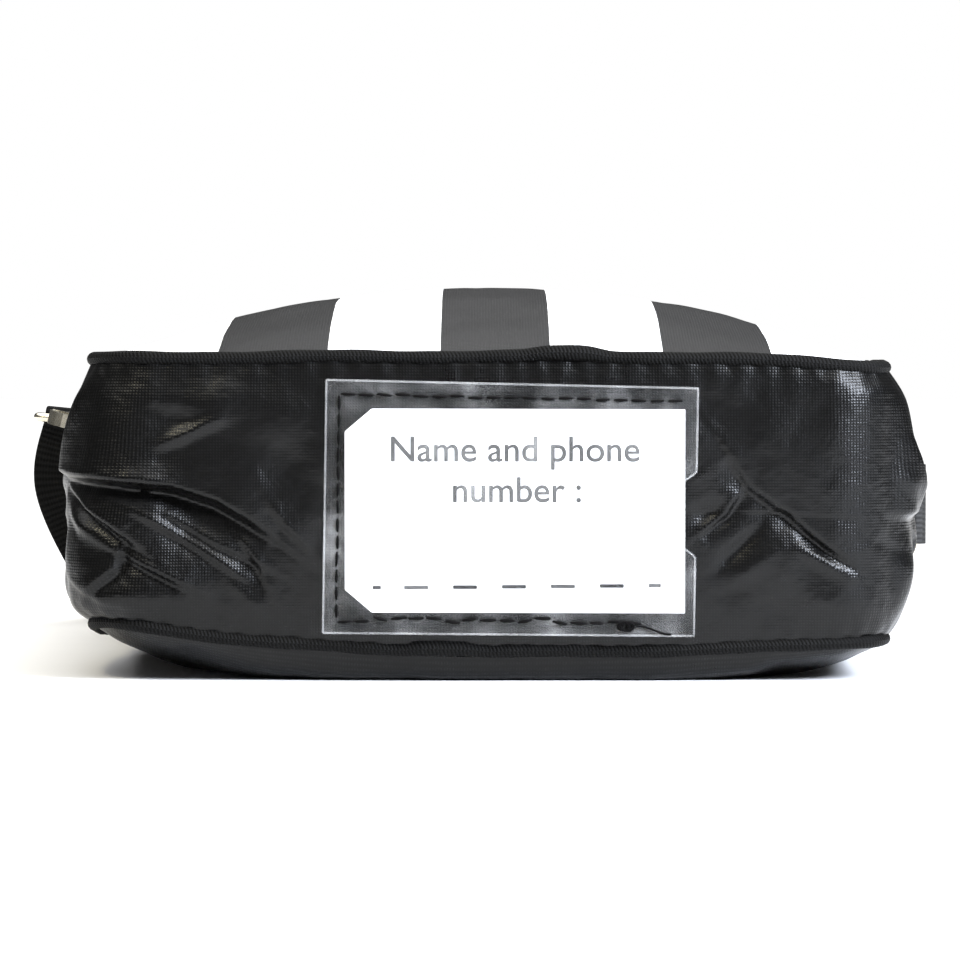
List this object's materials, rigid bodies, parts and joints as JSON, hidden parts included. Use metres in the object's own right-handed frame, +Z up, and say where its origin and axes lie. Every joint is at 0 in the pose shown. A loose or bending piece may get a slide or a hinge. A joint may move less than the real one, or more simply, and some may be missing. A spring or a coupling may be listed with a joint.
{
  "type": "insulated lunch bag",
  "caption": "Soft insulated lunch bag lying on its back: crowned striped front, zipped mouth, name-card window underneath and clip-on webbing shoulder strap.",
  "frame": {"origin": "middle of the flat patch of the back panel that rests on the table", "axes": "+Z up, out of the striped front; +Y from the bag's bottom to its mouth; +X to the right seen from the bottom"},
  "size_m": [0.2927, 0.3306, 0.1055],
  "materials": {
    "striped_cloth": "woven polyester, wide white and black stripes",
    "nylon": "black woven nylon with a soft sheen",
    "piping": "black ribbed binding over a cord",
    "foam": "white closed-cell foam, hidden between shell and lining",
    "lining": "silver-grey insulating lining film",
    "clear_vinyl": "clear flexible vinyl, slightly hazy",
    "card": null,
    "zip_tape": "black woven zip tape",
    "zip_teeth": "black nylon coil",
    "plated_metal": "pale gold plating over cast zinc and steel wire",
    "webbing": "black ribbed polypropylene webbing"
  },
  "bodies": {
    "bag": {"front_panel": "striped_cloth", "front_foam": "foam", "front_lining": "lining", "back_panel": "nylon", "back_foam": "foam", "back_lining": "lining", "gusset_shell": "nylon", "gusset_foam": "foam", "gusset_lining": "lining", "front_piping": "piping", "back_piping": "piping", "name_window_sleeve": "clear_vinyl", "zip_end_left": "zip_teeth", "zip_end_right": "zip_teeth", "left_ring_tab": "webbing", "left_hook": "plated_metal", "left_gate_pin": "plated_metal", "right_ring_tab": "webbing", "right_hook": "plated_metal", "right_gate_pin": "plated_metal"},
    "card": {"name_card": "card"},
    "front_flap": {"mouth_front_strip": "nylon", "mouth_front_foam": "foam", "zip_tape_front": "zip_tape", "zip_teeth_front": "zip_teeth"},
    "back_flap": {"mouth_back_strip": "nylon", "mouth_back_foam": "foam", "zip_tape_back": "zip_tape", "zip_teeth_back": "zip_teeth"},
    "slider": {"zip_slider": "plated_metal"},
    "pull": {"zip_pull": "plated_metal"},
    "left_ring": {"left_d_ring": "plated_metal"},
    "right_ring": {"right_d_ring": "plated_metal"},
    "left_gate": {"left_hook_gate": "plated_metal"},
    "right_gate": {"right_hook_gate": "plated_metal"},
    "left_eye": {"left_swivel_eye": "plated_metal"},
    "right_eye": {"right_swivel_eye": "plated_metal"},
    "strap": {"strap_webbing": "webbing"},
    "adjuster": {"strap_adjuster": "plated_metal"}
  },
  "joints": [
    {"name": "card_slide", "type": "slide", "parent": "bag", "child": "card", "axis": [1, 0, 0], "range_m": [0, 0.09]},
    {"name": "front_flap_open", "type": "hinge", "parent": "bag", "child": "front_flap", "pos_m": [0, 0.1076, 0.0815], "axis": [1, 0, 0], "range_deg": [0, 85]},
    {"name": "back_flap_open", "type": "hinge", "parent": "bag", "child": "back_flap", "pos_m": [0, 0.1076, 0.0135], "axis": [-1, 0, 0], "range_deg": [0, 85]},
    {"name": "zip_slide", "type": "slide", "parent": "bag", "child": "slider", "axis": [1, 0, 0], "range_m": [-0.149, 0]},
    {"name": "zip_pull_swing", "type": "hinge", "parent": "slider", "child": "pull", "pos_m": [0.0745, 0.1184, 0.047], "axis": [1, 0, 0], "range_deg": [0, 120]},
    {"name": "left_ring_swing", "type": "hinge", "parent": "bag", "child": "left_ring", "pos_m": [-0.1225, 0.0795, 0.064], "axis": [0.2419, 0, 0.9703], "range_deg": [-8, 8]},
    {"name": "right_ring_swing", "type": "hinge", "parent": "bag", "child": "right_ring", "pos_m": [0.1346, 0.076, 0.041], "axis": [0, 0, 1], "range_deg": [-8, 8]},
    {"name": "left_gate_open", "type": "hinge", "parent": "bag", "child": "left_gate", "pos_m": [-0.13904, 0.10511, 0.06812], "axis": [0.2419, 0, 0.9703], "range_deg": [0, 25], "stiffness_Nm_per_rad": 0.01},
    {"name": "right_gate_open", "type": "hinge", "parent": "bag", "child": "right_gate", "pos_m": [0.13245, 0.10379, 0.041], "axis": [0, 0, -1], "range_deg": [0, 25], "stiffness_Nm_per_rad": 0.01},
    {"name": "left_eye_swivel", "type": "hinge", "parent": "bag", "child": "left_eye", "pos_m": [-0.13342, 0.09291, 0.06672], "axis": [0, 1, 0], "range_deg": [-2, 2]},
    {"name": "right_eye_swivel", "type": "hinge", "parent": "bag", "child": "right_eye", "pos_m": [0.12665, 0.09159, 0.041], "axis": [0, 1, 0], "range_deg": [-2, 2]},
    {"name": "strap_swing", "type": "hinge", "parent": "bag", "child": "strap", "pos_m": [-0.13342, 0.12891, 0.06672], "axis": [0.9951, -0.005, -0.0984], "range_deg": [0, 100]},
    {"name": "adjuster_slide", "type": "slide", "parent": "strap", "child": "adjuster", "axis": [1, 0, 0], "range_m": [-0.024, 0.022]}
  ]
}
